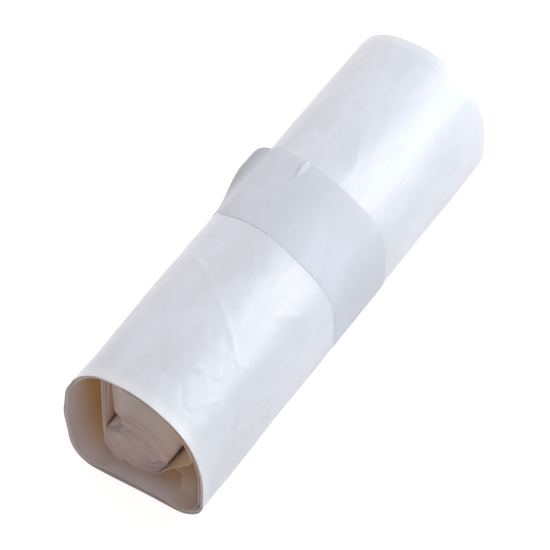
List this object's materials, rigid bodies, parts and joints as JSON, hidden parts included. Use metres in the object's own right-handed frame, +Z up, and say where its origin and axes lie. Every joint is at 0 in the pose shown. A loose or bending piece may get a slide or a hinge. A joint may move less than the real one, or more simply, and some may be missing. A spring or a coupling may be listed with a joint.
{
  "type": "bin bag roll",
  "caption": "Coreless roll of thin white film bin bags lying on its side, loosely wound round a tight middle, with a strip of film wrapped round its waist.",
  "frame": {"origin": "on the table, on the strip's flat underside, below the middle of the roll", "axes": "+Y along the roll, from the end with the sunken middle to the end where the middle stands out; +X across the roll, to the right seen from the -Y end; +Z up"},
  "size_m": [0.0657, 0.206, 0.0577],
  "materials": {
    "bag_film": "smooth satin film, slightly see-through, finely crinkled",
    "band_film": "matt film, slightly greyer than the bags"
  },
  "bodies": {
    "root": {"bag_roll": "bag_film", "wrap_band": "band_film"}
  },
  "joints": []
}
